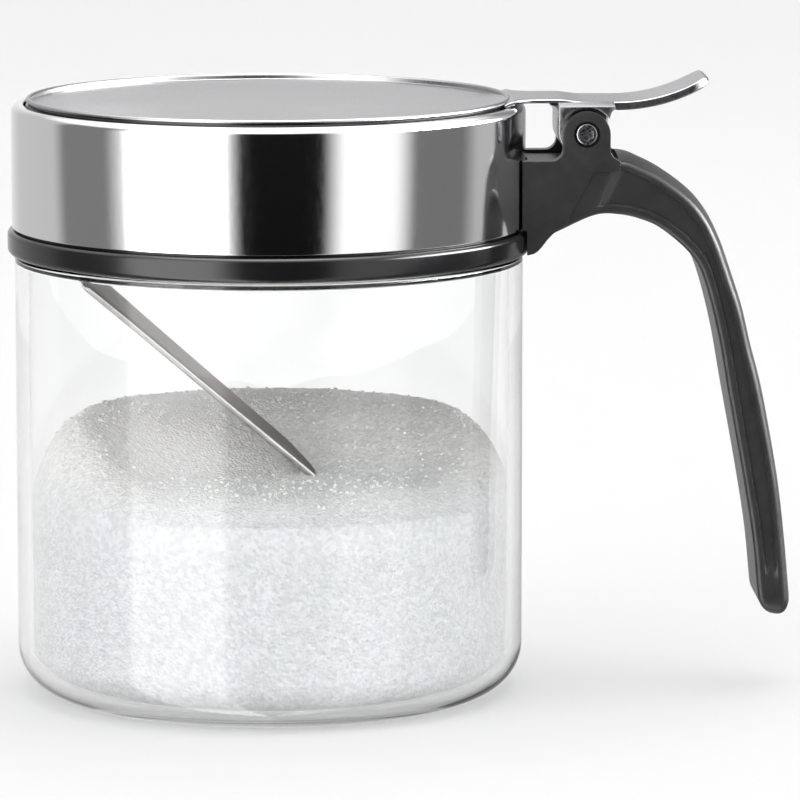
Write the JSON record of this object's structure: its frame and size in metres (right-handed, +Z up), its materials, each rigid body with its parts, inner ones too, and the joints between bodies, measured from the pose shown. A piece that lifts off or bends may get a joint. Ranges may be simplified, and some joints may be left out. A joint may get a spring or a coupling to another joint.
{
  "type": "spice jar",
  "caption": "Glass spice jar with a screw cap: black collar, polished steel band, hanging black handle, and a hinged metal lid with a thumb lever and a ladle.",
  "frame": {"origin": "middle of the glass jar's flat base, on the surface that it stands on", "axes": "+Z up along the jar's axis, +X towards the handle"},
  "size_m": [0.1225, 0.0814, 0.0969],
  "materials": {
    "glass": "polished",
    "salt": "matte",
    "seal": "satin",
    "gloss_black": "gloss",
    "grained_black": "matte",
    "polished_steel": "polished",
    "satin_metal": "satin",
    "spoon_steel": "satin",
    "screw_steel": "satin"
  },
  "bodies": {
    "jar": {"glass_jar": "glass", "salt_fill": "salt"},
    "seal": {"rim_gasket": "seal"},
    "cap": {"collar": "gloss_black", "steel_band": "polished_steel", "handle": "grained_black", "handle_screw_left": "screw_steel", "handle_screw_right": "screw_steel", "hinge_screw": "screw_steel", "hinge_nut": "screw_steel"},
    "lid": {"lid_lever": "satin_metal", "lid_plug": "gloss_black", "lid_gasket": "seal", "plug_screw": "screw_steel", "spoon": "spoon_steel", "spoon_screw_left": "screw_steel", "spoon_screw_right": "screw_steel"}
  },
  "joints": [
    {"name": "cap_lift", "type": "slide", "parent": "jar", "child": "seal", "axis": [0, 0, 1], "range_m": [0, 0.005]},
    {"name": "cap_turn", "type": "hinge", "parent": "seal", "child": "cap", "pos_m": [0, 0, 0.0691], "axis": [0, 0, 1], "range_deg": [0, 450]},
    {"name": "lid_hinge", "type": "hinge", "parent": "cap", "child": "lid", "pos_m": [0.049, 0, 0.0881], "axis": [0, 1, 0], "range_deg": [0, 46], "deforming": ["salt_fill"]}
  ],
  "couplings": [
    {"joint": "cap_lift", "follows": "cap_turn", "m_per_rad": 0.0006366}
  ]
}
